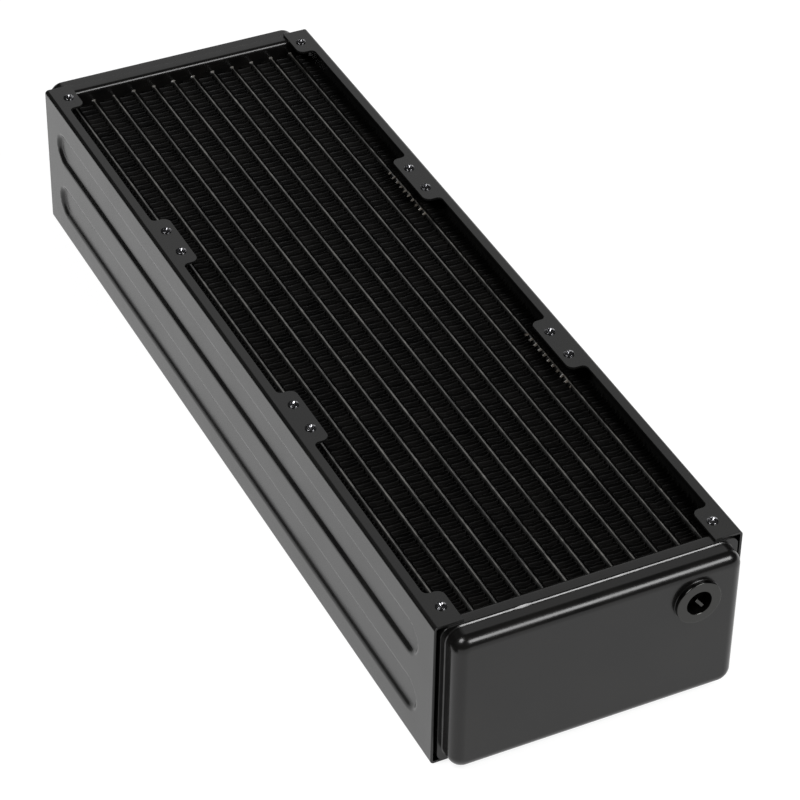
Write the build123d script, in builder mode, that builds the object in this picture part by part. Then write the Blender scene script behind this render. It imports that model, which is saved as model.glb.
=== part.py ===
# Liquid cooling radiator for three 120 mm fans.
# Millimetres. X across the width, Y along the length (the stop plug faces -Y), Z up.
# The origin is the centre of the underside, in the plane of the lower flanges.
import os

from build123d import *

# fan screw grid
fan_size = 120.0
fan_count = 3
hole_spacing = 105.0
screw_hole_radius = 1.5

# side panels, folded from steel sheet
panel_length = 363.0
panel_height = 63.0
panel_half_width = 59.5
sheet = 1.0
bend_radius = 1.5
flange_width = 4.4
tab_reach = 11.1
middle_tab_length = 31.4
corner_tab_length = 16.8
tab_corner_radius = 3.0
tab_root_radius = 2.0
burr_radius = 2.1
burr_depth = 1.2

# grooves pressed into each side panel
groove_rise = 13.0
groove_length = 340.0
groove_width = 15.5
groove_floor_width = 7.5
groove_depth = 1.4

# header trays, one at each end of the core
core_half_length = 176.5
header_plate = 1.2
rim_end = 182.2
rim_thickness = 0.8
folded_rim = 1.9
header_half_width = 57.4
header_corner_radius = 3.5

# tanks
tank_end = 190.7
tank_wall = 1.2
tank_edge_radius = 4.5
tank_corner_radius = 5.7
divider_thickness = 1.2

# core: flat tubes and folded fins
core_recess = 6.75
tube_count = 12
tube_pitch = 8.93
tube_thickness = 2.0
tube_wall = 0.3
tube_row_gap = 1.5
tube_end_length = 1.5
fin_sheet = 0.12
fin_spacing = 1.75
fin_folds = 200

# threaded ports, G 1/4
port_x = 36.9
port_height = 47.2
port_bore_radius = 5.9
collar_radius = 8.9
collar_height = 0.5
collar_chamfer = 0.15
bush_radius = 8.0
bush_depth = 9.0

# stop plug and its seal
plug_radius = 8.7
plug_flange = 1.45
plug_gap = 0.15
plug_chamfer = 0.3
plug_shank_radius = 5.82
plug_shank_length = 7.5
plug_shank_chamfer = 0.6
recess_radius = 4.9
recess_depth = 5.0
recess_chamfer = 0.35
web_length = 4.6
web_width = 1.2
web_drop = 0.2
web_angle = 51.0
seal_radius = 7.3
seal_section = 0.52
seal_groove_width = 1.4
seal_groove_depth = 1.0
seal_clearance = 0.03

# screws
screw_length = 5.0
screw_shank_radius = 1.42
screw_head_radius = 2.05
screw_head_height = 0.9
screw_head_edge = 0.5
cross_length = 2.5
cross_width = 0.6
cross_depth = 0.7
cross_taper = 12.0

# how close a point has to be to a stated place to count as on it
tolerance = 0.01

# sizes that follow from the ones above
core_bottom = core_recess
core_top = panel_height - core_recess
core_depth = core_top - core_bottom
tube_depth = (core_depth - tube_row_gap) / 2
tube_reach = core_half_length + header_plate + tube_end_length
middle_height = panel_height / 2
header_height = panel_height - 2 * sheet
tank_half_width = header_half_width - folded_rim
tank_height = header_height - 2 * rim_thickness
tank_start = core_half_length + header_plate
fin_width = tube_pitch - tube_thickness
fan_centres = [fan_size * (i - (fan_count - 1) / 2) for i in range(fan_count)]
hole_rows = [centre + side * hole_spacing / 2 for centre in fan_centres for side in (-1, 1)]
joint_lines = [(a + b) / 2 for a, b in zip(fan_centres, fan_centres[1:])]
tube_lines = [tube_pitch * (i - (tube_count - 1) / 2) for i in range(tube_count)]
fin_lines = [tube_pitch * (i - tube_count / 2) for i in range(tube_count + 1)]

os.makedirs("parts", exist_ok=True)


def save(piece, label):
    piece.label = label
    export_step(piece, f"parts/{label}.step")


# side panels
panel_edge = -panel_half_width
corner_tab_y = (panel_length - corner_tab_length) / 2

with BuildPart() as side_panel_left:
    # flange outline: a narrow strip with tabs where the fan screws go
    with BuildSketch(Plane.XY.offset(panel_height - sheet)) as flange:
        with Locations((panel_edge + flange_width / 2, 0)):
            Rectangle(flange_width, panel_length)
        with Locations(*[(panel_edge + tab_reach / 2, y) for y in joint_lines]):
            Rectangle(tab_reach, middle_tab_length)
        with Locations(*[(panel_edge + tab_reach / 2, side * corner_tab_y) for side in (-1, 1)]):
            Rectangle(tab_reach, corner_tab_length)
        inner = flange.vertices().filter_by(lambda v: abs(v.Y) < corner_tab_y)
        fillet(inner.group_by(Axis.X)[-1], tab_corner_radius)
        roots = flange.vertices().filter_by(lambda v: abs(v.X - panel_edge - flange_width) < tolerance)
        fillet(roots, tab_root_radius)
    extrude(amount=sheet)
    mirror(about=Plane.XY.offset(middle_height))
    # upright web
    with BuildSketch(Plane.YZ.offset(panel_edge)):
        with Locations((0, middle_height)):
            Rectangle(panel_length, panel_height)
    extrude(amount=sheet)
    # the backs of the two grooves stand in from the web
    for side in (-1, 1):
        for depth, width_loss in ((sheet, 0), (sheet + groove_depth, groove_width - groove_floor_width)):
            with BuildSketch(Plane.YZ.offset(panel_edge + depth)):
                with Locations((0, middle_height + side * groove_rise)):
                    SlotOverall(groove_length - width_loss, groove_width - width_loss)
        loft()
    # the grooves themselves
    for side in (-1, 1):
        for depth, width_loss in ((0, 0), (groove_depth, groove_width - groove_floor_width)):
            with BuildSketch(Plane.YZ.offset(panel_edge + depth)):
                with Locations((0, middle_height + side * groove_rise)):
                    SlotOverall(groove_length - width_loss, groove_width - width_loss)
        loft(mode=Mode.SUBTRACT)
    # pulled collars under the screw holes
    for start, rise in ((sheet, burr_depth), (panel_height - sheet, -burr_depth)):
        with BuildSketch(Plane.XY.offset(start)):
            with Locations(*[(-hole_spacing / 2, y) for y in hole_rows]):
                Circle(burr_radius)
        extrude(amount=rise)
    with BuildSketch():
        with Locations(*[(-hole_spacing / 2, y) for y in hole_rows]):
            Circle(screw_hole_radius)
    extrude(amount=panel_height, mode=Mode.SUBTRACT)
    bends = side_panel_left.edges().filter_by(Axis.Y).filter_by(lambda e: e.length > groove_length)
    fillet(bends.group_by(Axis.X)[0], bend_radius)
save(side_panel_left.part, "side_panel_left")

with BuildPart() as side_panel_right:
    add(mirror(side_panel_left.part, about=Plane.YZ, mode=Mode.PRIVATE))
save(side_panel_right.part, "side_panel_right")


# headers
def header(side, label):
    """Tray that the tube ends pass through, with a rim around the tank's open edge."""
    plane = Plane((0, side * core_half_length, middle_height), x_dir=(1, 0, 0), z_dir=(0, side, 0))
    with BuildPart() as tray:
        with BuildSketch(plane):
            RectangleRounded(2 * header_half_width, header_height, header_corner_radius)
        extrude(amount=rim_end - core_half_length)
        with BuildSketch(plane.offset(header_plate)):
            RectangleRounded(2 * tank_half_width, tank_height, tank_corner_radius)
        extrude(amount=rim_end - tank_start, mode=Mode.SUBTRACT)
        with BuildSketch(plane):
            with GridLocations(tube_pitch, tube_depth + tube_row_gap, tube_count, 2):
                SlotOverall(tube_depth, tube_thickness, rotation=90)
        extrude(amount=header_plate, mode=Mode.SUBTRACT)
    save(tray.part, label)


header(-1, "header_plate_front")
header(1, "header_plate_rear")


# tanks
def tank(side, ports, label):
    """Drawn box, open towards the core, with a round hole for each port bush."""
    plane = Plane((0, side * tank_start, middle_height), x_dir=(1, 0, 0), z_dir=(0, side, 0))
    with BuildPart() as box:
        with BuildSketch(plane):
            RectangleRounded(2 * tank_half_width, tank_height, tank_corner_radius)
        extrude(amount=tank_end - tank_start)
        ends = box.faces().filter_by(Axis.Y).sort_by(Axis.Y)
        end_face, open_face = (ends[-1], ends[0]) if side > 0 else (ends[0], ends[-1])
        fillet(end_face.edges(), tank_edge_radius)
        offset(amount=-tank_wall, openings=open_face)
        with BuildSketch(Plane.XZ.offset(-side * tank_end)):
            with Locations(*[(x, port_height) for x in ports]):
                Circle(bush_radius)
        extrude(amount=2 * tank_wall, both=True, mode=Mode.SUBTRACT)
    save(box.part, label)


tank(-1, [port_x], "tank_front")
tank(1, [-port_x, port_x], "tank_rear")

with BuildPart() as rear_tank_divider:
    with BuildSketch(Plane.YZ.offset(-divider_thickness / 2)) as baffle:
        with Locations(((tank_start + tank_end - tank_wall) / 2, middle_height)):
            Rectangle(tank_end - tank_wall - tank_start, tank_height - 2 * tank_wall)
        fillet(baffle.vertices().group_by(Axis.X)[-1], tank_edge_radius - tank_wall)
    extrude(amount=divider_thickness)
save(rear_tank_divider.part, "rear_tank_divider")


# ports
def port_bush(side, x, label):
    """Threaded bush: a collar outside the tank's end wall and a sleeve inside it."""
    plane = Plane((x, side * tank_end, port_height), x_dir=(1, 0, 0), z_dir=(0, side, 0))
    with BuildPart() as bush:
        with BuildSketch(plane):
            Circle(collar_radius)
        extrude(amount=collar_height)
        chamfer(bush.edges().sort_by(Axis(plane.origin, plane.z_dir))[-1], collar_chamfer)
        with BuildSketch(plane):
            Circle(bush_radius)
        extrude(amount=-bush_depth)
        with BuildSketch(plane.offset(collar_height)):
            Circle(port_bore_radius)
        extrude(amount=-(collar_height + bush_depth), mode=Mode.SUBTRACT)
    save(bush.part, label)


port_bush(-1, port_x, "port_bush_front")
port_bush(1, -port_x, "port_bush_inlet")
port_bush(1, port_x, "port_bush_outlet")

# stop plug
plug_plane = Plane((port_x, -(tank_end + collar_height + plug_gap), port_height), x_dir=(1, 0, 0),
                   z_dir=(0, -1, 0))

with BuildPart() as stop_plug:
    with BuildSketch(plug_plane):
        Circle(plug_radius)
    extrude(amount=plug_flange)
    rim_edges = stop_plug.edges().filter_by(GeomType.CIRCLE).sort_by(Axis.Y)
    chamfer(rim_edges[0], plug_chamfer)
    with BuildSketch(plug_plane):
        Circle(plug_shank_radius)
    extrude(amount=-plug_shank_length)
    chamfer(stop_plug.edges().filter_by(GeomType.CIRCLE).sort_by(Axis.Y)[-1], plug_shank_chamfer)
    # groove for the seal, in the underside of the flange
    with BuildSketch(plug_plane):
        Circle(seal_radius + seal_groove_width / 2)
        Circle(seal_radius - seal_groove_width / 2, mode=Mode.SUBTRACT)
    extrude(amount=seal_groove_depth, mode=Mode.SUBTRACT)
    # round recess with an upright web in its middle, which a slotted key turns
    with BuildSketch(plug_plane.offset(plug_flange)):
        Circle(recess_radius)
    extrude(amount=-recess_depth, mode=Mode.SUBTRACT)
    mouth = stop_plug.edges().filter_by(GeomType.CIRCLE).filter_by(lambda e: e.radius < plug_shank_radius)
    chamfer(mouth.sort_by(Axis.Y)[0], recess_chamfer)
    with BuildSketch(plug_plane.offset(plug_flange - recess_depth)):
        Rectangle(web_length, web_width, rotation=-web_angle)
    extrude(amount=recess_depth - web_drop)
save(stop_plug.part, "stop_plug")

with BuildPart() as plug_seal:
    seal_y = -(tank_end + collar_height + seal_clearance + seal_section)
    with BuildSketch(Plane.YZ.offset(port_x)):
        with Locations((seal_y, port_height + seal_radius)):
            Circle(seal_section)
    revolve(axis=Axis((port_x, 0, port_height), (0, 1, 0)))
save(plug_seal.part, "plug_seal")

# tubes
for row, row_name in ((-1, "lower"), (1, "upper")):
    row_height = middle_height + row * (tube_depth + tube_row_gap) / 2
    for number, x in enumerate(tube_lines, 1):
        with BuildPart() as tube:
            with BuildSketch(Plane.XZ.offset(-tube_reach)):
                with Locations((x, row_height)):
                    SlotOverall(tube_depth, tube_thickness, rotation=90)
                    SlotOverall(tube_depth - 2 * tube_wall, tube_thickness - 2 * tube_wall, rotation=90,
                                mode=Mode.SUBTRACT)
            extrude(amount=2 * tube_reach)
        save(tube.part, f"tube_{row_name}_{number:02d}")

# fins
fold_half_length = fin_folds * fin_spacing / 2


def fold_line(x, inset):
    """Corners along one face of the folded sheet, inset from its middle line."""
    points = []
    for fold in range(fin_folds):
        y = fold * fin_spacing - fold_half_length
        turn = 1 if fold % 2 else -1
        crest = x + turn * (fin_width - fin_sheet) / 2 - inset
        points += [(crest, y + turn * inset), (crest, y + fin_spacing - turn * inset)]
    return points


for number, x in enumerate(fin_lines, 1):
    with BuildPart() as fins:
        with BuildSketch(Plane.XY.offset(core_bottom)):
            with BuildLine():
                one_face = fold_line(x, fin_sheet / 2)
                other_face = fold_line(x, -fin_sheet / 2)
                Polyline(*one_face, *reversed(other_face), close=True)
            make_face()
        extrude(amount=core_depth)
    save(fins.part, f"fin_bank_{number:02d}")

# screws
with BuildPart() as screw:
    with BuildSketch(Plane.XY.offset(panel_height)):
        Circle(screw_head_radius)
    extrude(amount=screw_head_height)
    fillet(screw.edges().filter_by(GeomType.CIRCLE).sort_by(Axis.Z)[-1], screw_head_edge)
    with BuildSketch(Plane.XY.offset(panel_height)):
        Circle(screw_shank_radius)
    extrude(amount=-screw_length)
    with BuildSketch(Plane.XY.offset(panel_height + screw_head_height)):
        Rectangle(cross_length, cross_width)
        Rectangle(cross_width, cross_length)
    extrude(amount=-cross_depth, taper=cross_taper, mode=Mode.SUBTRACT)

with BuildPart() as fan_screws:
    with Locations(*[(x, y) for x in (-hole_spacing / 2, hole_spacing / 2) for y in hole_rows]):
        add(screw.part)
save(fan_screws.part, "fan_screws")
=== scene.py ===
import math
import random

import bmesh
import bpy
from mathutils import Euler, Matrix, Vector, noise


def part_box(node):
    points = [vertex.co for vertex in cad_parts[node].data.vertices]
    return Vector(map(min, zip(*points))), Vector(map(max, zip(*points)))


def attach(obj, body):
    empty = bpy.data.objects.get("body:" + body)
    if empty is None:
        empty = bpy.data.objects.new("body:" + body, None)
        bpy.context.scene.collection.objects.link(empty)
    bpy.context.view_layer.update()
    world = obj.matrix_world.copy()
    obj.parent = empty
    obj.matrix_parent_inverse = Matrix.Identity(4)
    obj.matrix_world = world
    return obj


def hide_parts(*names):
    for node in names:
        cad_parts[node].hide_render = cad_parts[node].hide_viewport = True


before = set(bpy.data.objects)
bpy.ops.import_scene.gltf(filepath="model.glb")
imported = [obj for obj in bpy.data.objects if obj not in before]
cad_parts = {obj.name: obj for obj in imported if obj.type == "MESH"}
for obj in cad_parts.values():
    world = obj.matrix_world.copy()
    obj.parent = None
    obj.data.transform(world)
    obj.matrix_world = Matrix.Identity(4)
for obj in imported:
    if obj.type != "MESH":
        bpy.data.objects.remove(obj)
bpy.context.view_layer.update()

# Inside the pieces lengths are in millimetres; finishPiece turns them to metres.
mm = 0.001
weldReach = 0.0005
smoothUpTo = 40
print("frame loaded:", len(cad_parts), "nodes")


def boxOf(node):
    low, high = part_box(node)
    return low / mm, high / mm


# the sizes that several pieces share, read from the frame
panelLow, panelHigh = boxOf("side_panel_left")
headerLow, headerHigh = boxOf("header_plate_rear")
tankLow, tankHigh = boxOf("tank_rear")
collarLow, collarHigh = boxOf("port_bush_outlet")
plugLow = boxOf("stop_plug")[0]
top = panelHigh.z
middleHeight = top / 2
portX = (collarLow.x + collarHigh.x) / 2
portZ = (collarLow.z + collarHigh.z) / 2


# materials
def linearColour(hexText):
    values = [int(hexText[i:i + 2], 16) / 255 for i in (1, 3, 5)]
    return (*[v / 12.92 if v <= 0.04045 else ((v + 0.055) / 1.055) ** 2.4 for v in values], 1.0)


def addNode(tree, kind, settings, links=None):
    node = tree.nodes.new(kind)
    for name, value in settings.items():
        if hasattr(node, name):
            setattr(node, name, value)
        else:
            node.inputs[name].default_value = value
    for name, socket in (links or {}).items():
        tree.links.new(socket, node.inputs[name])
    return node


def newMaterial(name, settings=None):
    material = bpy.data.materials.new(name)
    material.use_nodes = True
    tree = material.node_tree
    tree.nodes.clear()
    shader = addNode(tree, "ShaderNodeBsdfPrincipled", settings or {})
    addNode(tree, "ShaderNodeOutputMaterial", {}, {"Surface": shader.outputs["BSDF"]})
    return material, tree, shader


def noiseAt(tree, sizeMm, detail=2.0):
    place = addNode(tree, "ShaderNodeTexCoord", {}).outputs["Object"]
    return addNode(tree, "ShaderNodeTexNoise", {"Scale": 1 / (sizeMm * mm), "Detail": detail},
                   {"Vector": place}).outputs["Fac"]


def spread(tree, value, low, high, fromLow=0.3, fromHigh=0.7):
    return addNode(tree, "ShaderNodeMapRange",
                   {"From Min": fromLow, "From Max": fromHigh, "To Min": low, "To Max": high},
                   {"Value": value}).outputs["Result"]


def mixColours(tree, share, first, second):
    mix = addNode(tree, "ShaderNodeMix", {"data_type": "RGBA"})
    tree.links.new(share, mix.inputs[0])
    mix.inputs[6].default_value = linearColour(first)
    mix.inputs[7].default_value = linearColour(second)
    return mix.outputs[2]


def addBump(tree, shader, *layers):
    normal = None
    for height, depthMm in layers:
        links = {"Height": height}
        if normal:
            links["Normal"] = normal
        normal = addNode(tree, "ShaderNodeBump", {"Distance": depthMm * mm}, links).outputs["Normal"]
    tree.links.new(normal, shader.inputs["Normal"])


faintestHighlight = 0.55


def paintedCrownHighlight(tree, patches, low, high):
    # painted highlight along the tube crowns: none up to a height from the middle, then quickly more, in
    # patches
    place = addNode(tree, "ShaderNodeTexCoord", {}).outputs["Object"]
    height = addNode(tree, "ShaderNodeSeparateXYZ", {}, {"Vector": place}).outputs["Z"]
    reach = addNode(tree, "ShaderNodeMath", {"operation": "SUBTRACT"})
    reach.inputs[1].default_value = middleHeight * mm
    tree.links.new(height, reach.inputs[0])
    reach = addNode(tree, "ShaderNodeMath", {"operation": "ABSOLUTE"}, {"Value": reach.outputs["Value"]})
    highlightShare = spread(tree, reach.outputs["Value"], 0.0, 1.0, low * mm, high * mm)
    share = addNode(tree, "ShaderNodeMath", {"operation": "MULTIPLY"})
    tree.links.new(highlightShare, share.inputs[0])
    tree.links.new(spread(tree, patches, faintestHighlight, 1.0), share.inputs[1])
    return share.outputs["Value"]


def paint(name, look):
    # shared by the painted finishes: two tones, an uneven gloss, a broad wave and a fine peel in the surface
    material, tree, shader = newMaterial(name, {"Specular IOR Level": look.get("specular", 0.5)})
    patches = noiseAt(tree, look["patch"], detail=3.0)
    peel = noiseAt(tree, look["peel"])
    share = spread(tree, patches, 0.0, 1.0)
    # on the tubes the second, light grey tone is a painted highlight near their top and bottom crowns
    if "highlightBand" in look:
        share = paintedCrownHighlight(tree, patches, *look["highlightBand"])
    tree.links.new(mixColours(tree, share, *look["tones"]), shader.inputs["Base Color"])
    tree.links.new(spread(tree, patches, *look["roughness"]), shader.inputs["Roughness"])
    wave = noiseAt(tree, look["wave"], detail=1.0)
    addBump(tree, shader, (wave, look["waveDepth"]), (peel, look["peelDepth"]))
    return material


def plating(name, look):
    # shared by the plated metals: a smudged gloss over fine turning marks
    material, tree, shader = newMaterial(name, {"Metallic": 1.0, "Base Color": linearColour(look["colour"])})
    gloss = spread(tree, noiseAt(tree, look["smudge"]), *look["roughness"])
    tree.links.new(gloss, shader.inputs["Roughness"])
    addBump(tree, shader, (noiseAt(tree, look["marks"]), look["markDepth"]))
    return material


finishes = {
    # powder coat baked on steel sheet: near black and satin, with a fine orange peel about 1 mm wide
    "panel": paint("SatinBlackPowderCoat", {
        "tones": ("#101010", "#151514"), "roughness": (0.2, 0.26), "patch": 26.0, "specular": 0.35,
        "wave": 30.0, "waveDepth": 0.03, "peel": 1.0, "peelDepth": 0.007}),
    # stoved enamel on drawn brass: smoother and glossier than the panels, over a faintly wavy sheet
    "tank": paint("StovedBlackEnamel", {
        "tones": ("#0b0b0b", "#100f0e"), "roughness": (0.2, 0.27), "patch": 18.0, "specular": 0.34,
        "wave": 14.0, "waveDepth": 0.03, "peel": 0.8, "peelDepth": 0.003}),
    # the same enamel on the headers, duller where the soldering heat and flux reached it
    "header": paint("HeatDulledBlackEnamel", {
        "tones": ("#0a0a0a", "#0f0e0d"), "roughness": (0.19, 0.28), "patch": 6.0, "specular": 0.36,
        "wave": 9.0, "waveDepth": 0.03, "peel": 0.9, "peelDepth": 0.006}),
    # enamel over the soft solder of the seams: the glossiest paint, following the solder's own ripple
    "seam": paint("EnamelOverSolder", {
        "tones": ("#111111", "#1a1918"), "roughness": (0.2, 0.28), "patch": 3.0, "specular": 0.6,
        "wave": 4.0, "waveDepth": 0.02, "peel": 0.8, "peelDepth": 0.002}),
    # thin dip paint on folded copper: almost no light comes back, and what does is faintly brown
    "fin": paint("ThinBlackPaintOnCopper", {
        "tones": ("#020202", "#070605"), "roughness": (0.44, 0.58), "patch": 11.0, "specular": 0.2,
        "wave": 3.0, "waveDepth": 0.04, "peel": 0.7, "peelDepth": 0.02}),
    # the same paint on the tubes, with a painted highlight in light grey along their crowns, over solder
    # grains about 0.5 mm wide
    "tube": paint("TubePaintWithPaintedCrownHighlight", {
        "tones": ("#0a0a09", "#6e6c68"), "roughness": (0.24, 0.4), "patch": 2.6, "specular": 0.6,
        "highlightBand": (24.64, 24.76), "wave": 2.0, "waveDepth": 0.05, "peel": 0.55, "peelDepth": 0.03}),
    # fin crests that were pushed over a tube, coloured light grey as a painted highlight
    "crest": paint("PushedFinCrestPaintedHighlight", {
        "tones": ("#37332e", "#5f5a53"), "roughness": (0.3, 0.45), "patch": 1.5,
        "wave": 2.0, "waveDepth": 0.05, "peel": 0.55, "peelDepth": 0.03}),
    # nitrile rubber: matt black with a faint moulding grain
    "rubber": paint("BlackNitrileRubber", {
        "tones": ("#090909", "#0d0d0d"), "roughness": (0.55, 0.7), "patch": 4.0,
        "wave": 2.0, "waveDepth": 0.01, "peel": 0.3, "peelDepth": 0.01}),
    # black nickel over turned brass: dark mirror-like metal, softened by turning marks 0.3 mm wide
    "plug": plating("BlackNickelPlatedBrass", {
        "colour": "#3c3c3b", "roughness": (0.17, 0.27), "smudge": 3.0, "marks": 0.3, "markDepth": 0.002}),
    # the same plating down in the recess, made darker as painted shade and left dull
    "socket": plating("BlackNickelWithPaintedRecessShade", {
        "colour": "#171716", "roughness": (0.5, 0.65), "smudge": 2.0, "marks": 0.3, "markDepth": 0.004}),
    # black zinc over cold-headed steel: smooth metal that mirrors the lamps as small bright glints
    "screw": plating("BlackZincPlatedSteel", {
        "colour": "#8a8a8d", "roughness": (0.14, 0.22), "smudge": 1.2, "marks": 0.4, "markDepth": 0.002}),
    # mill-finish brass sheet, dulled by soldering
    "brass": plating("MillFinishBrass", {
        "colour": "#b08d4f", "roughness": (0.35, 0.5), "smudge": 5.0, "marks": 0.5, "markDepth": 0.004}),
}
print("materials made:", len(finishes))


# making pieces
def finishPiece(name, bm, finishNames, body="root", flatFaces=True):
    bmesh.ops.scale(bm, vec=(mm, mm, mm), verts=bm.verts)
    mesh = bpy.data.meshes.new(name)
    bm.to_mesh(mesh)
    bm.free()
    mesh.polygons.foreach_set("use_smooth", [True] * len(mesh.polygons))
    mesh.set_sharp_from_angle(angle=math.radians(smoothUpTo))
    for finish in finishNames:
        mesh.materials.append(finishes[finish])
    piece = bpy.data.objects.new(name, mesh)
    bpy.context.scene.collection.objects.link(piece)
    if flatFaces:
        piece.modifiers.new("FlatFacesStayFlat", "WEIGHTED_NORMAL").keep_sharp = True
    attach(piece, body)
    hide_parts(name)


def intoMesh(bm):
    mesh = bpy.data.meshes.new("work")
    bm.to_mesh(mesh)
    bm.free()
    return mesh


def joinInto(bm, other):
    mesh = intoMesh(other)
    bm.from_mesh(mesh)
    bpy.data.meshes.remove(mesh)


def combine(bm, other, operation):
    # the exact Boolean of two shapes; both are used up
    things = [bpy.data.objects.new("work", intoMesh(shape)) for shape in (bm, other)]
    for thing in things:
        bpy.context.scene.collection.objects.link(thing)
    modifier = things[0].modifiers.new("Boolean", "BOOLEAN")
    modifier.operation = operation
    modifier.object = things[1]
    modifier.solver = "EXACT"
    bpy.context.view_layer.update()
    result = bpy.data.meshes.new_from_object(things[0].evaluated_get(bpy.context.evaluated_depsgraph_get()))
    made = bmesh.new()
    made.from_mesh(result)
    for mesh in [thing.data for thing in things] + [result]:
        bpy.data.meshes.remove(mesh)
    bmesh.ops.remove_doubles(made, verts=made.verts, dist=weldReach)
    return made


def foldedGrid(across, along, place):
    # a flat grid whose vertex (i, j) moves to place(i, j)
    bm = bmesh.new()
    bmesh.ops.create_grid(bm, x_segments=across, y_segments=along, size=1.0)
    for v in bm.verts:
        v.co = place(round((v.co.x + 1) / 2 * across), round((v.co.y + 1) / 2 * along))
    return bm


def faceOutwards(bm, direction):
    # turns an open sheet so that the side seen from a direction is its front
    aim = Vector(direction)
    bm.normal_update()
    largest = max(bm.faces, key=lambda f: abs(f.normal.dot(aim)) * f.calc_area())
    if largest.normal.dot(aim) < 0:
        bmesh.ops.reverse_faces(bm, faces=bm.faces)


def thicken(bm, thickness):
    bm.normal_update()
    bmesh.ops.solidify(bm, geom=bm.faces[:] + bm.edges[:] + bm.verts[:], thickness=thickness)
    bmesh.ops.recalc_face_normals(bm, faces=bm.faces)


def closeUp(bm):
    bmesh.ops.remove_doubles(bm, verts=bm.verts, dist=weldReach)
    bmesh.ops.holes_fill(bm, edges=[e for e in bm.edges if e.is_boundary], sides=0)
    bmesh.ops.recalc_face_normals(bm, faces=bm.faces)


def softenEdges(bm, edges, width, segments, clamp=True):
    bmesh.ops.bevel(bm, geom=edges, offset=width, offset_type="OFFSET", affect="EDGES", segments=segments,
                    profile=0.5, material=-1, clamp_overlap=clamp)


flats = {"sliver": 0.01, "degrees": 0.05}


def mergeFlats(bm):
    # drops the slivers and the needless vertices that a Boolean leaves on flat faces
    bmesh.ops.remove_doubles(bm, verts=bm.verts, dist=flats["sliver"])
    bmesh.ops.dissolve_degenerate(bm, dist=flats["sliver"], edges=bm.edges)
    bmesh.ops.dissolve_limit(bm, angle_limit=math.radians(flats["degrees"]), verts=bm.verts, edges=bm.edges)


def sharpEdges(bm, degrees):
    return [e for e in bm.edges if len(e.link_faces) == 2 and e.calc_face_angle(0) > math.radians(degrees)]


def bar(bm, radius, start, end, segments=28):
    run = Vector(end) - Vector(start)
    turn = run.to_track_quat("Z", "Y").to_matrix().to_4x4()
    place = Matrix.Translation((Vector(start) + Vector(end)) / 2) @ turn
    bmesh.ops.create_cone(bm, cap_ends=True, segments=segments, radius1=radius, radius2=radius,
                          depth=run.length, matrix=place)


def block(low, high):
    bm = bmesh.new()
    size = Vector(high) - Vector(low)
    bmesh.ops.create_cube(bm, size=1.0, matrix=Matrix.Translation((Vector(low) + Vector(high)) / 2)
                          @ Matrix.Diagonal((*size, 1)))
    return bm


def roundedBlock(low, high, radius, segments=10):
    # a block whose four long edges along Y are rounded
    bm = block(low, high)
    softenEdges(bm, [e for e in bm.edges if abs((e.verts[0].co - e.verts[1].co).normalized().y) > 0.9],
                radius, segments)
    return bm


def facing(bm, direction):
    bm.normal_update()
    aim = Vector(direction)
    return max(bm.faces, key=lambda f: (round(f.normal.dot(aim), 2), f.calc_area()))


def arcPoints(centre, radius, startDegrees, endDegrees, steps):
    angles = [math.radians(startDegrees + (endDegrees - startDegrees) * i / steps) for i in range(steps + 1)]
    return [(centre[0] + radius * math.cos(a), centre[1] + radius * math.sin(a)) for a in angles]


def turned(profile, centre, axis, steps=64):
    # a turned solid; its profile is given as (radius, distance along the axis)
    bm = bmesh.new()
    centre, axis, side = Vector(centre), Vector(axis), Vector((1, 0, 0))
    points = [bm.verts.new(centre + side * r + axis * d) for r, d in profile]
    edges = [bm.edges.new(pair) for pair in zip(points, points[1:])]
    if profile[0][0] > 0:
        edges.append(bm.edges.new((points[-1], points[0])))
    bmesh.ops.spin(bm, geom=points + edges, cent=centre, axis=axis, angle=2 * math.pi, steps=steps,
                   use_merge=True)
    bmesh.ops.remove_doubles(bm, verts=bm.verts, dist=weldReach)
    bmesh.ops.recalc_face_normals(bm, faces=bm.faces)
    return bm


thread = {"pitch": 1.337, "depth": 0.5, "crest": 0.14, "stepsInTurn": 40, "root": 0.12, "rootShare": 0.46}


def threadRidge(crestRadius, towards, centre, axis, start, turns):
    # one helical ridge that rises from root radius to crest radius; towards is 1 outside, -1 in a bore
    rootRadius = crestRadius - towards * (thread["depth"] + thread["root"])
    halfRoot = thread["pitch"] * thread["rootShare"]
    profile = [(rootRadius, -halfRoot), (crestRadius, -thread["crest"] / 2),
               (crestRadius, thread["crest"] / 2), (rootRadius, halfRoot)]
    bm = bmesh.new()
    centre, axis = Vector(centre), Vector(axis)
    face = bm.faces.new([bm.verts.new(centre + Vector((r, 0, 0)) + axis * (start + d)) for r, d in profile])
    rise = axis * (thread["pitch"] / thread["stepsInTurn"])
    bmesh.ops.spin(bm, geom=[face] + face.edges[:] + face.verts[:], cent=centre, axis=axis, dvec=rise,
                   angle=2 * math.pi * turns, steps=round(thread["stepsInTurn"] * turns))
    bmesh.ops.recalc_face_normals(bm, faces=bm.faces)
    return bm


# side panels
panel = {
    "sheet": 1.0, "bend": 1.5, "flange": 4.4, "tabReach": 11.1, "middleTab": 31.4, "cornerTab": 16.8,
    "tabCorner": 3.0, "tabRoot": 2.0, "holeX": 52.5, "holePitch": 52.5, "fans": (-120, 0, 120),
    "tabLines": (-60, 60), "hole": 1.5, "burr": 2.1, "burrDepth": 1.2,
    "grooveRise": 13.0, "grooveLength": 340.0, "grooveWidth": 15.5, "grooveFloor": 9.7, "grooveDepth": 1.4,
    "edge": 0.15, "edgeAngle": 60, "webSteps": 90, "bendSteps": 7, "cornerSteps": 6, "rootSteps": 5,
    "nearEnd": -176.0, "endStart": -172.0, "endSteps": 24, "endStep": 0.75, "middleRows": (-150, -100, -50),
    "cutterClear": 6.0, "burrSunk": 0.5, "holeClear": 5,
}
holeRows = [centre + side * panel["holePitch"] for centre in panel["fans"] for side in (-1, 1)]


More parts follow.
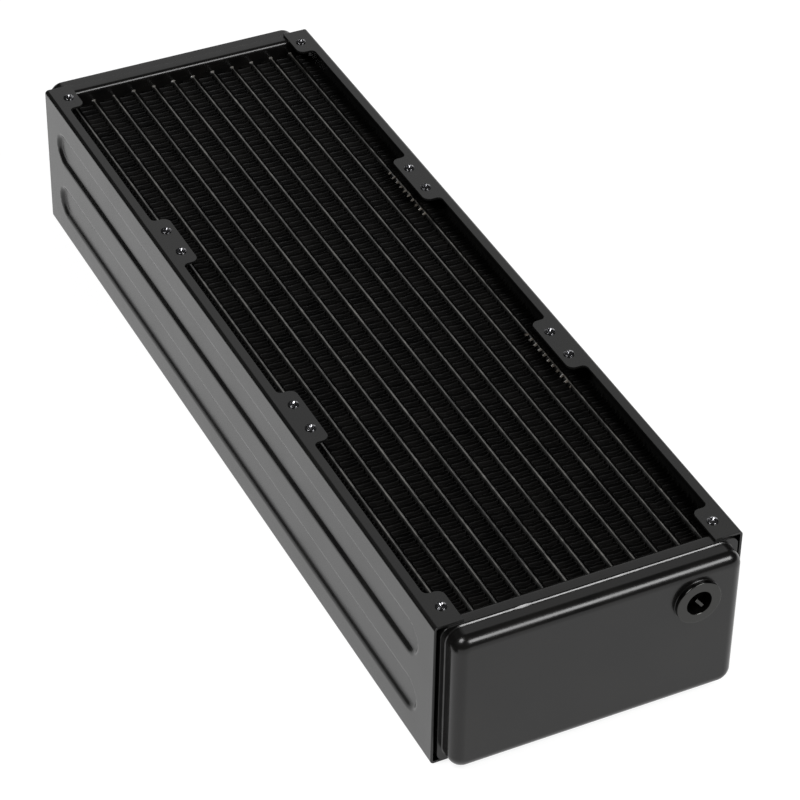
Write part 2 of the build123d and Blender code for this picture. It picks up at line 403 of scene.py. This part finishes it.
def grooveDip(y, z):
    # how far the web is pressed in at a place on it
    radius = panel["grooveWidth"] / 2
    beyond = max(0.0, abs(y) - (panel["grooveLength"] / 2 - radius))
    across = abs(abs(z - middleHeight) - panel["grooveRise"])
    share = (radius - math.hypot(beyond, across)) / (radius - panel["grooveFloor"] / 2)
    return panel["grooveDepth"] * (0.5 - 0.5 * math.cos(math.pi * min(1.0, max(0.0, share))))


def panelSection():
    # outer line of the folded channel, from the top flange's free edge round to the lower one's
    outer, bend, steps = -panelLow.x, panel["bend"], panel["webSteps"]
    inner, strip = outer - panel["tabReach"], outer - panel["flange"]
    points = [(inner, top), (strip, top)]
    points += arcPoints((outer - bend, top - bend), bend, 90, 0, panel["bendSteps"])
    points += [(outer, top - bend - (top - 2 * bend) * i / steps) for i in range(1, steps)]
    points += arcPoints((outer - bend, bend), bend, 0, -90, panel["bendSteps"])
    return points + [(strip, 0), (inner, 0)]


def panelStations():
    # close together round the groove ends, far apart between them
    half = [-panelHigh.y, panel["nearEnd"]]
    half += [panel["endStart"] + panel["endStep"] * i for i in range(panel["endSteps"])]
    half += panel["middleRows"]
    return half + [0.0] + [-y for y in reversed(half)]


def tabNotch(side, start, end):
    # cutter for the gap between two tabs, with rounded roots, which also rounds the tabs' own corners
    outer, corner, root = -panelLow.x, panel["tabCorner"], panel["tabRoot"]
    tip, strip = outer - panel["tabReach"], outer - panel["flange"]
    clear, cornerSteps, rootSteps = panel["cutterClear"], panel["cornerSteps"], panel["rootSteps"]
    outline = arcPoints((tip + corner, start - corner), corner, 180, 90, cornerSteps)
    outline += arcPoints((strip - root, start + root), root, -90, 0, rootSteps)
    outline += arcPoints((strip - root, end - root), root, 0, 90, rootSteps)
    outline += arcPoints((tip + corner, end + corner), corner, -90, -180, cornerSteps)
    outline += [(tip - clear, end + corner), (tip - clear, start - corner)]
    bm = bmesh.new()
    face = bm.faces.new([bm.verts.new((side * x, y, -clear)) for x, y in outline])
    grown = bmesh.ops.extrude_face_region(bm, geom=[face])["geom"]
    lifted = [part for part in grown if isinstance(part, bmesh.types.BMVert)]
    bmesh.ops.translate(bm, vec=(0, 0, top + 2 * clear), verts=lifted)
    bmesh.ops.recalc_face_normals(bm, faces=bm.faces)
    return bm


def sidePanel(side, node):
    section, stations = panelSection(), panelStations()

    def place(i, j):
        (x, z), y = section[i], stations[j]
        dip = grooveDip(y, z) if panel["bend"] < z < top - panel["bend"] else 0.0
        return side * (x - dip), y, z

    bm = foldedGrid(len(section) - 1, len(stations) - 1, place)
    faceOutwards(bm, (side, 0, 0))
    thicken(bm, panel["sheet"])
    collars, holes = bmesh.new(), bmesh.new()
    x, low, high = side * panel["holeX"], panel["sheet"], top - panel["sheet"]
    sunk, clear = panel["burrSunk"], panel["holeClear"]
    for y in holeRows:
        bar(collars, panel["burr"], (x, y, low - sunk), (x, y, low + panel["burrDepth"]))
        bar(collars, panel["burr"], (x, y, high - panel["burrDepth"]), (x, y, high + sunk))
        bar(holes, panel["hole"], (x, y, -clear), (x, y, top + clear))
    bm = combine(bm, collars, "UNION")
    half, corner = panel["middleTab"] / 2, panelHigh.y - panel["cornerTab"]
    near, far = panel["tabLines"]
    for start, end in ((-corner, near - half), (near + half, far - half), (far + half, corner)):
        joinInto(holes, tabNotch(side, start, end))
    bm = combine(bm, holes, "DIFFERENCE")
    mergeFlats(bm)
    softenEdges(bm, sharpEdges(bm, panel["edgeAngle"]), panel["edge"], 2, clamp=False)
    finishPiece(node, bm, ["panel"])


# headers and tanks
header = {"corner": 3.5, "recessCorner": 5.7, "plate": 1.2, "edge": 0.2, "edgeAngle": 60, "fold": 2.0,
          "foldSegments": 5, "recessClear": 5}
tank = {"wall": 1.2, "corner": 5.7, "edge": 4.5, "segments": 12, "portHole": 8.0, "portHoleSides": 48,
        "portHoleReach": 3}
seam = {"height": 0.34, "unevenness": 0.3, "step": 2.2, "lumpX": -26.5, "lumpLength": 4.7, "lumpHeight": 0.3,
        "cornerSteps": 6, "waviness": 0.3, "seed": 9,
        # (out from the tank, along it) as shares of the seam's height
        "outline": ((-0.2, -0.2), (-0.2, 1.15), (0.05, 1.0), (1.0, 0.05), (1.15, -0.2), (-0.2, -0.2))}


def spanY(side, near, far):
    # the low and high ends of a stretch that lies on one side of the middle
    return sorted((side * near, side * far))


def headerTray(side, node):
    low, high = spanY(side, headerLow.y, headerHigh.y)
    bm = roundedBlock((headerLow.x, low, headerLow.z), (headerHigh.x, high, headerHigh.z), header["corner"])
    softenEdges(bm, facing(bm, (0, -side, 0)).edges[:], header["fold"], header["foldSegments"])
    low, high = spanY(side, headerLow.y + header["plate"], headerHigh.y + header["recessClear"])
    recess = roundedBlock((tankLow.x, low, tankLow.z), (tankHigh.x, high, tankHigh.z), header["recessCorner"])
    bm = combine(bm, recess, "DIFFERENCE")
    softenEdges(bm, sharpEdges(bm, header["edgeAngle"]), header["edge"], 2)
    joinInto(bm, solderSeam(side))
    finishPiece(node, bm, ["header", "seam"])


def solderSeam(side):
    # fillet of solder in the corner between the header's rim and the tank, with one lump where it was closed
    halfX, halfZ, corner = tankHigh.x, (tankHigh.z - tankLow.z) / 2, tank["corner"]
    corners = []
    for start, sx, sz in ((0, 1, 1), (90, -1, 1), (180, -1, -1), (270, 1, -1)):
        centre = (sx * (halfX - corner), middleHeight + sz * (halfZ - corner))
        corners += arcPoints(centre, corner, start, start + 90, seam["cornerSteps"])
    path = []
    for first, second in zip(corners, corners[1:] + corners[:1]):
        a, b = Vector(first), Vector(second)
        pieces = max(1, round((b - a).length / seam["step"]))
        path += [a.lerp(b, k / pieces) for k in range(pieces)]

    def place(i, j):
        here = path[j % len(path)]
        run = (path[(j + 1) % len(path)] - path[j % len(path) - 1]).normalized()
        spot = Vector((here.x * seam["waviness"], side * seam["seed"], here.y * seam["waviness"]))
        size = seam["height"] * (1 + seam["unevenness"] * noise.noise(spot))
        if here.y > middleHeight and side < 0:
            reach = (here.x - seam["lumpX"]) / (seam["lumpLength"] / 2)
            size += seam["lumpHeight"] * math.exp(-reach ** 4)
        out, along = seam["outline"][i]
        outwards = Vector((run.y, -run.x)) * (out * size)
        return here.x + outwards.x, side * (headerHigh.y + along * size), here.y + outwards.y

    bm = foldedGrid(len(seam["outline"]) - 1, len(path), place)
    closeUp(bm)
    for face in bm.faces:
        face.material_index = 1
    return bm


def tankShell(side, ports, node):
    low, high = spanY(side, tankLow.y, tankHigh.y)
    bm = roundedBlock((tankLow.x, low, tankLow.z), (tankHigh.x, high, tankHigh.z), tank["corner"],
                      tank["segments"])
    softenEdges(bm, facing(bm, (0, side, 0)).edges[:], tank["edge"], tank["segments"])
    bmesh.ops.delete(bm, geom=[facing(bm, (0, -side, 0))], context="FACES_ONLY")
    faceOutwards(bm, (0, side, 0))
    thicken(bm, tank["wall"])
    holes = bmesh.new()
    inner, outer = side * (tankHigh.y - tank["portHoleReach"]), side * (tankHigh.y + tank["portHoleReach"])
    for x in ports:
        bar(holes, tank["portHole"], (x, inner, portZ), (x, outer, portZ), tank["portHoleSides"])
    finishPiece(node, combine(bm, holes, "DIFFERENCE"), ["tank"])


# tubes
tube = {
    "steps": 190, "noseSteps": 6, "ripple": 0.055, "narrowing": 0.6, "fillet": 1.5, "filletSize": 0.38,
    "filletRows": (1.0, 0.5, 0.2, 0.0), "innerStart": 0.5,
    "solder": 1.1, "solderSeed": 5.3, "solderHeight": 0.3,
    "bead": 0.6, "beadSeed": 7.3, "swing": 0.07, "swingSeed": 3.1, "swingPlane": 4.0,
}


def flatTube(row, number):
    # a flat tube with round noses, a little uneven, in a collar of solder where it meets each header
    node = f"tube_{row}_{number:02d}"
    low, high = boxOf(node)
    radius = (high.x - low.x) / 2
    centre = Vector(((low.x + high.x) / 2, (low.z + high.z) / 2))
    straight = (high.z - low.z) / 2 - radius
    noses = arcPoints((0, straight), radius, 0, 180, tube["noseSteps"])
    noses += arcPoints((0, -straight), radius, 180, 360, tube["noseSteps"])
    outline = noses + noses[:1]
    plate = headerLow.y
    ends = [plate - tube["fillet"] * share for share in tube["filletRows"]] + [high.y]
    inner, steps = ends[0] - tube["innerStart"], tube["steps"]
    stations = [-y for y in reversed(ends)]
    stations += [inner * (2 * k / steps - 1) for k in range(steps + 1)] + ends

    def place(i, j):
        (x, z), y = outline[i], stations[j]
        nose = Vector((x, z - math.copysign(straight, z))).normalized()
        inside = plate - abs(y)
        if inside < 0:
            return centre.x + x, y, centre.y + z
        lump = noise.noise(Vector((number * tube["solderSeed"], y, z * tube["solderHeight"])))
        collar = tube["filletSize"] * max(0.0, 1 - inside / tube["fillet"]) ** 2 * (1 + tube["solder"] * lump)
        bead = noise.noise(Vector((number * tube["beadSeed"], y * tube["bead"], z)))
        bead += noise.noise(Vector((number * tube["swingSeed"], y * tube["swing"], tube["swingPlane"])))
        swell = nose * (collar + tube["ripple"] * (bead - tube["narrowing"]))
        return centre.x + x + swell.x + tube["ripple"] * bead, y, centre.y + z + swell.y

    bm = foldedGrid(len(outline) - 1, len(stations) - 1, place)
    closeUp(bm)
    finishPiece(node, bm, ["tube"], flatFaces=False)


# fins
fins = {
    "sheet": 0.12, "folds": 200, "spacing": 1.75, "crest": 0.4, "crestAngles": (-80, -40, 0, 40, 80),
    "legShares": (0.3, 0.62), "legReach": 0.8, "bow": 0.32, "bowRange": (0.4, 1.3), "bowSag": 0.25,
    "lean": 0.2, "crestLean": 0.4, "pull": 0.15, "sag": 0.3, "bend": 0.4, "bendAcross": 0.35,
    "bendAlong": 0.16, "skin": 6.0, "lip": 0.36, "lipBend": (0.25, 0.04), "endGap": 0.1,
    "crestHighlightReach": 0.4, "pushedTube": 12, "pushedFrom": 2.2, "pushedReach": 18.0, "pushOver": 1.7,
    "pushShares": (0.6, 0.4), "pushUp": 0.3,
}


def foldLine(number, middle, reach, rand):
    # (x, y, bow, fold) along the folded sheet: a round crest, then a leg across to the other side
    half = fins["spacing"] / 2
    line = []
    for fold in range(fins["folds"]):
        turn = 1 if fold % 2 else -1
        y = (fold - fins["folds"] / 2) * fins["spacing"] + half
        lean, pull = rand.uniform(-1, 1) * fins["lean"], rand.uniform(0, fins["pull"])
        for degrees in fins["crestAngles"]:
            angle = math.radians(degrees)
            line.append((middle + turn * (reach - pull - fins["crest"] * (1 - math.cos(angle))),
                         y + lean * fins["crestLean"] + half * math.sin(angle), 0.0, fold))
        for share in fins["legShares"]:
            bow = fins["bow"] * math.sin(math.pi * share) * rand.uniform(*fins["bowRange"])
            line.append((middle + turn * reach * (1 - 2 * share) * fins["legReach"],
                         y + half + lean * share, bow, fold))
    return line


def nearTab(y):
    return min(abs(y - tab) for tab in panel["tabLines"]) < fins["pushedReach"]


def finBank(number):
    # thin sheet folded to and fro between two tubes; the upper and lower edges are knocked about a little
    node = f"fin_bank_{number:02d}"
    low, high = boxOf(node)
    rand = random.Random(number)
    middle = (low.x + high.x) / 2
    line = foldLine(number, middle, (high.x - low.x) / 2 - fins["sheet"], rand)
    sags = [rand.uniform(0, 1) ** 2 * fins["sag"] for fold in range(fins["folds"])]
    heights = [low.z, low.z + fins["lip"], low.z + fins["skin"],
               high.z - fins["skin"], high.z - fins["lip"], high.z]
    last = len(heights) - 1
    pushed = number == fins["pushedTube"]
    least, more = fins["pushShares"]

    def place(i, j):
        x, y, bow, fold = line[i]
        z = heights[j]
        if j not in (2, 3):
            outwards = 1 if j > 2 else -1
            spot = Vector((x * fins["bendAcross"], y * fins["bendAlong"], number * 2.0 + outwards))
            knock = noise.noise(spot)
            y += knock * fins["bend"] - bow
            z -= outwards * (sags[fold] + abs(bow) * fins["bowSag"])
            if j in (0, last) and pushed and nearTab(y) and x > middle + fins["pushedFrom"]:
                x += fins["pushOver"] * (least + more * knock)
                z = heights[j] + outwards * fins["pushUp"]
            elif j in (0, last):
                y += fins["lipBend"][fold % 2]
        return x, max(low.y + fins["endGap"], min(high.y - fins["endGap"], y)), z

    bm = foldedGrid(len(line) - 1, len(heights) - 1, place)
    thicken(bm, fins["sheet"])
    # faces of the pushed crests beside the tabs take the light grey crest finish, a painted highlight
    for face in bm.faces:
        spot = face.calc_center_median()
        atEdge = abs(spot.z - middleHeight) > high.z - middleHeight - fins["lip"]
        face.material_index = int(pushed and atEdge and spot.x > high.x - fins["crestHighlightReach"] and nearTab(spot.y))
    finishPiece(node, bm, ["fin", "crest"], flatFaces=False)


# port bushes
bush = {"collar": 8.9, "sleeve": 8.0, "bore": 5.9, "depth": 9.0, "mouth": 0.4, "edge": 0.15,
        "threadStart": 0.8, "threadTurns": 5.6}


def portBush(side, x, node):
    height = collarHigh.y - tankHigh.y
    root = bush["bore"] + thread["depth"]
    profile = [(bush["collar"], 0), (bush["collar"], height - bush["edge"]),
               (bush["collar"] - bush["edge"], height), (root + bush["mouth"], height),
               (root, height - bush["mouth"]), (root, -bush["depth"]), (bush["sleeve"], -bush["depth"]),
               (bush["sleeve"], 0)]
    centre, axis = (x, side * tankHigh.y, portZ), (0, side, 0)
    bm = turned(profile, centre, axis)
    start = -bush["depth"] + bush["threadStart"]
    joinInto(bm, threadRidge(bush["bore"], -1, centre, axis, start, bush["threadTurns"]))
    finishPiece(node, bm, ["tank"])


# stop plug and seal
plug = {
    "radius": 8.7, "flange": 1.45, "edge": 0.32, "shank": 5.82, "shankLength": 7.5, "shankEdge": 0.5,
    "neck": 0.8, "threadTurns": 4.2, "recess": 4.9, "mouth": 0.12, "recessDepth": 5.0,
    "webLength": 4.6, "webWidth": 1.2, "webDrop": 0.2, "webAngle": 51.0, "webEdge": 0.2,
    "webSunk": 0.1, "grooveIn": 6.6, "grooveOut": 8.0, "grooveDepth": 1.0, "backEdge": 0.12,
    "relief": 0.2, "edgeSteps": 4, "steps": 96, "wallMargin": 0.02, "floorMargin": 0.01,
}


def stopPlug():
    seat = plugLow.y + plug["flange"]
    centre, axis = Vector((portX, seat, portZ)), Vector((0, -1, 0))
    r, flange, edge, recess = plug["radius"], plug["flange"], plug["edge"], plug["recess"]
    bottom, core, end = flange - plug["recessDepth"], plug["shank"] - thread["depth"], -plug["shankLength"]
    profile = [(0, bottom), (recess, bottom), (recess, flange - plug["mouth"]),
               (recess + plug["mouth"], flange), (r - edge, flange)]
    profile += arcPoints((r - edge, flange - edge), edge, 70, 0, plug["edgeSteps"])
    back = plug["backEdge"]
    profile += [(r, back), (r - back, 0), (plug["grooveOut"], 0), (plug["grooveOut"], plug["grooveDepth"]),
                (plug["grooveIn"], plug["grooveDepth"]), (plug["grooveIn"], 0), (core, -plug["relief"]),
                (core, end + plug["shankEdge"]), (core - plug["shankEdge"], end), (0, end)]
    bm = turned(profile, centre, axis, plug["steps"])
    # faces inside the recess take the darker socket finish, a painted shade
    for face in bm.faces:
        spot = face.calc_center_median() - centre
        inRecess = math.hypot(spot.x, spot.z) < recess + plug["wallMargin"]
        face.material_index = int(inRecess and spot.y > -flange + plug["floorMargin"])
    joinInto(bm, threadRidge(plug["shank"], 1, centre, axis, end + plug["neck"], plug["threadTurns"]))
    height = plug["recessDepth"] - plug["webDrop"]
    web = block((-plug["webLength"] / 2, -height / 2 - plug["webSunk"], -plug["webWidth"] / 2),
                (plug["webLength"] / 2, height / 2, plug["webWidth"] / 2))
    softenEdges(web, facing(web, (0, -1, 0)).edges[:], plug["webEdge"], 3)
    place = Matrix.Translation(centre + axis * (bottom + height / 2))
    turn = Matrix.Rotation(math.radians(plug["webAngle"]), 4, "Y")
    bmesh.ops.transform(web, matrix=place @ turn, verts=web.verts)
    joinInto(bm, web)
    finishPiece("stop_plug", bm, ["plug", "socket"], "plug")


seal = {"sectionSteps": 18, "steps": 72}


def plugSeal():
    # the ring's section is a closed circle: turned joins its last point to its first
    low, high = boxOf("plug_seal")
    section = (high.y - low.y) / 2
    count = seal["sectionSteps"]
    profile = arcPoints(((high.x - low.x) / 2 - section, 0), section, 0, 360 - 360 / count, count - 1)
    bm = turned(profile, (low + high) / 2, (0, -1, 0), seal["steps"])
    finishPiece("plug_seal", bm, ["rubber"], "seal", flatFaces=False)


# screws
screw = {"head": 2.05, "height": 0.88, "dome": 3.0, "edge": 0.14, "shank": 1.42, "length": 5.0,
         "dish": 1.02, "dishFloor": 0.16, "dishDepth": 0.75, "dishLip": 0.12,
         "lipDrop": 0.6, "domeRing": 1.6, "cross": 2.5, "slot": 0.36, "slotDepth": 0.8, "taper": 0.5,
         "slotTaper": 0.7, "armTop": 2.0, "tip": 0.4, "steps": 32, "lip": 0.04, "lipSegments": 4,
         "lipAngle": 50, "lipZone": 0.1, "seed": 5}


def crossedRecess(model):
    for turn in (0, 90):
        x, y, deep = screw["cross"] / 2, screw["slot"] / 2, screw["height"] - screw["slotDepth"]
        arm = block((-x, -y, deep), (x, y, screw["armTop"]))
        for v in arm.verts:
            if v.co.z < screw["armTop"] / 2:
                v.co.x *= screw["taper"]
                v.co.y *= screw["slotTaper"]
        bmesh.ops.transform(arm, matrix=Matrix.Rotation(math.radians(turn), 4, "Z"), verts=arm.verts)
        model = combine(model, arm, "DIFFERENCE")
    return model


def fanScrews():
    # domed heads with a conical dish in the middle, which the arms of the cross run out from
    r, height, shank, dish, lip = (screw[key] for key in ("head", "height", "shank", "dish", "dishLip"))
    rim = r - screw["edge"]
    profile = [(0, height - screw["dishDepth"]), (screw["dishFloor"], height - screw["dishDepth"]),
               (dish - lip, height - lip * screw["lipDrop"]), (dish, height)]
    profile += [(x, height - (x ** 2 - dish ** 2) / (2 * screw["dome"]))
                for x in (dish + lip, screw["domeRing"], rim)]
    edgeTop = profile[-1][1]
    profile += arcPoints((rim, edgeTop - screw["edge"]), screw["edge"], 70, 0, 3)
    tip, end = screw["tip"], -screw["length"]
    profile += [(r, 0), (shank, 0), (shank, end + tip), (shank - tip, end), (0, end)]
    model = crossedRecess(turned(profile, (0, 0, 0), (0, 0, 1), screw["steps"]))
    lowest = edgeTop - screw["lipZone"]
    rims = [e for e in sharpEdges(model, screw["lipAngle"]) if min(v.co.z for v in e.verts) > lowest]
    softenEdges(model, rims, screw["lip"], screw["lipSegments"])
    mesh = intoMesh(model)
    rand = random.Random(screw["seed"])
    bm = bmesh.new()
    for x in (-panel["holeX"], panel["holeX"]):
        for y in holeRows:
            one = bmesh.new()
            one.from_mesh(mesh)
            turn = Matrix.Rotation(rand.uniform(0, math.pi / 2), 4, "Z")
            bmesh.ops.transform(one, matrix=Matrix.Translation((x, y, top)) @ turn, verts=one.verts)
            joinInto(bm, one)
    bpy.data.meshes.remove(mesh)
    finishPiece("fan_screws", bm, ["screw"], flatFaces=False)


for side, end in ((-1, "left"), (1, "right")):
    sidePanel(side, f"side_panel_{end}")
print("side panels folded")
headerTray(-1, "header_plate_front")
headerTray(1, "header_plate_rear")
tankShell(-1, [portX], "tank_front")
tankShell(1, [-portX, portX], "tank_rear")
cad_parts["rear_tank_divider"].data.materials.clear()
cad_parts["rear_tank_divider"].data.materials.append(finishes["brass"])
print("headers and tanks made")
tubeCount = sum(name.startswith("tube_upper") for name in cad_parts)
for number in range(1, tubeCount + 1):
    flatTube("lower", number)
    flatTube("upper", number)
for number in range(1, tubeCount + 2):
    finBank(number)
print("core made:", 2 * tubeCount, "tubes")
portBush(-1, portX, "port_bush_front")
portBush(1, -portX, "port_bush_inlet")
portBush(1, portX, "port_bush_outlet")
stopPlug()
plugSeal()
fanScrews()
print("ports, plug and screws made")

# floor, lights and camera
studio = {
    "floorSize": 8.0, "floorDrop": 0.3, "floorColour": "#7e7e7e", "floorGlow": 0.86, "world": 0.03,
    "backdrop": 0.9,
    "lights": [
        # direction from the object, distance, width, height, radiance
        ("FrontSoftbox", (0.36, -0.62, 0.67), 1.4, 0.75, 0.42, 14.0),
        ("LeftSoftbox", (-0.52, -0.12, 0.85), 1.4, 0.62, 0.55, 13.2),
        ("BackCard", (0.35, 0.73, 0.59), 1.8, 1.3, 1.3, 0.72),
        ("RightCard", (0.80, 0.60, 0.12), 2.0, 1.6, 0.5, 1.0),
    ],
    "flag": {"x": -0.17, "lowY": -0.24, "highY": 0.9, "height": 0.1},
    "camera": (-0.4140, -0.8633, 0.7629), "turn": (51.839, -0.869, -25.834), "lens": 140.64,
    "sensor": 36.0, "clip": (0.05, 50.0),
}


def stageObject(name, bm, material):
    mesh = bpy.data.meshes.new(name)
    bm.to_mesh(mesh)
    bm.free()
    mesh.materials.append(material)
    thing = bpy.data.objects.new(name, mesh)
    bpy.context.scene.collection.objects.link(thing)
    return thing


def makeFloor():
    bm = bmesh.new()
    bmesh.ops.create_grid(bm, x_segments=1, y_segments=1, size=studio["floorSize"] / 2,
                          matrix=Matrix.Translation((0, 0, -studio["floorDrop"] * mm)))
    stageObject("Floor", bm, newMaterial("PaleStudioFloor", {
        "Base Color": linearColour(studio["floorColour"]), "Roughness": 0.9,
        "Emission Color": (1, 1, 1, 1), "Emission Strength": studio["floorGlow"]})[0])


def makeFlag():
    # a black card that only reflections see; it draws the dark lines along the folds and grooves
    flag = studio["flag"]
    bm = bmesh.new()
    bmesh.ops.create_grid(bm, x_segments=1, y_segments=1, size=0.5)
    for v in bm.verts:
        v.co = (flag["x"], flag["lowY"] if v.co.x < 0 else flag["highY"], 0 if v.co.y < 0 else flag["height"])
    thing = stageObject("BlackFlag", bm, newMaterial("BlackFeltFlag", {
        "Base Color": linearColour("#050505"), "Roughness": 1.0, "Specular IOR Level": 0.0})[0])
    thing.visible_camera = thing.visible_diffuse = thing.visible_shadow = False


def makeLights():
    for name, direction, distance, width, height, radiance in studio["lights"]:
        light = bpy.data.lights.new(name, "AREA")
        light.shape = "RECTANGLE"
        light.size, light.size_y = width, height
        light.energy = radiance * math.pi * width * height
        lamp = bpy.data.objects.new(name, light)
        bpy.context.scene.collection.objects.link(lamp)
        away = Vector(direction).normalized()
        lamp.location = away * distance
        lamp.rotation_euler = away.to_track_quat("Z", "Y").to_euler()
        lamp.visible_camera = False


def makeWorld():
    # dark surroundings for the reflections, pale ones behind the object
    world = bpy.data.worlds.new("Studio")
    world.use_nodes = True
    tree = world.node_tree
    seen = addNode(tree, "ShaderNodeLightPath", {}).outputs["Is Camera Ray"]
    strength = spread(tree, seen, studio["world"], studio["backdrop"], 0.0, 1.0)
    tree.links.new(strength, tree.nodes["Background"].inputs["Strength"])
    tree.nodes["Background"].inputs["Color"].default_value = (1, 1, 1, 1)
    bpy.context.scene.world = world


def makeCamera():
    camera = bpy.data.objects.new("Camera", bpy.data.cameras.new("Camera"))
    bpy.context.scene.collection.objects.link(camera)
    camera.location = studio["camera"]
    camera.rotation_euler = Euler([math.radians(a) for a in studio["turn"]])
    camera.data.sensor_width = studio["sensor"]
    camera.data.lens = studio["lens"]
    camera.data.clip_start, camera.data.clip_end = studio["clip"]
    bpy.context.scene.camera = camera


makeFloor()
makeFlag()
makeLights()
makeWorld()
makeCamera()
bpy.context.scene.view_settings.view_transform = "Standard"
print("studio set up")
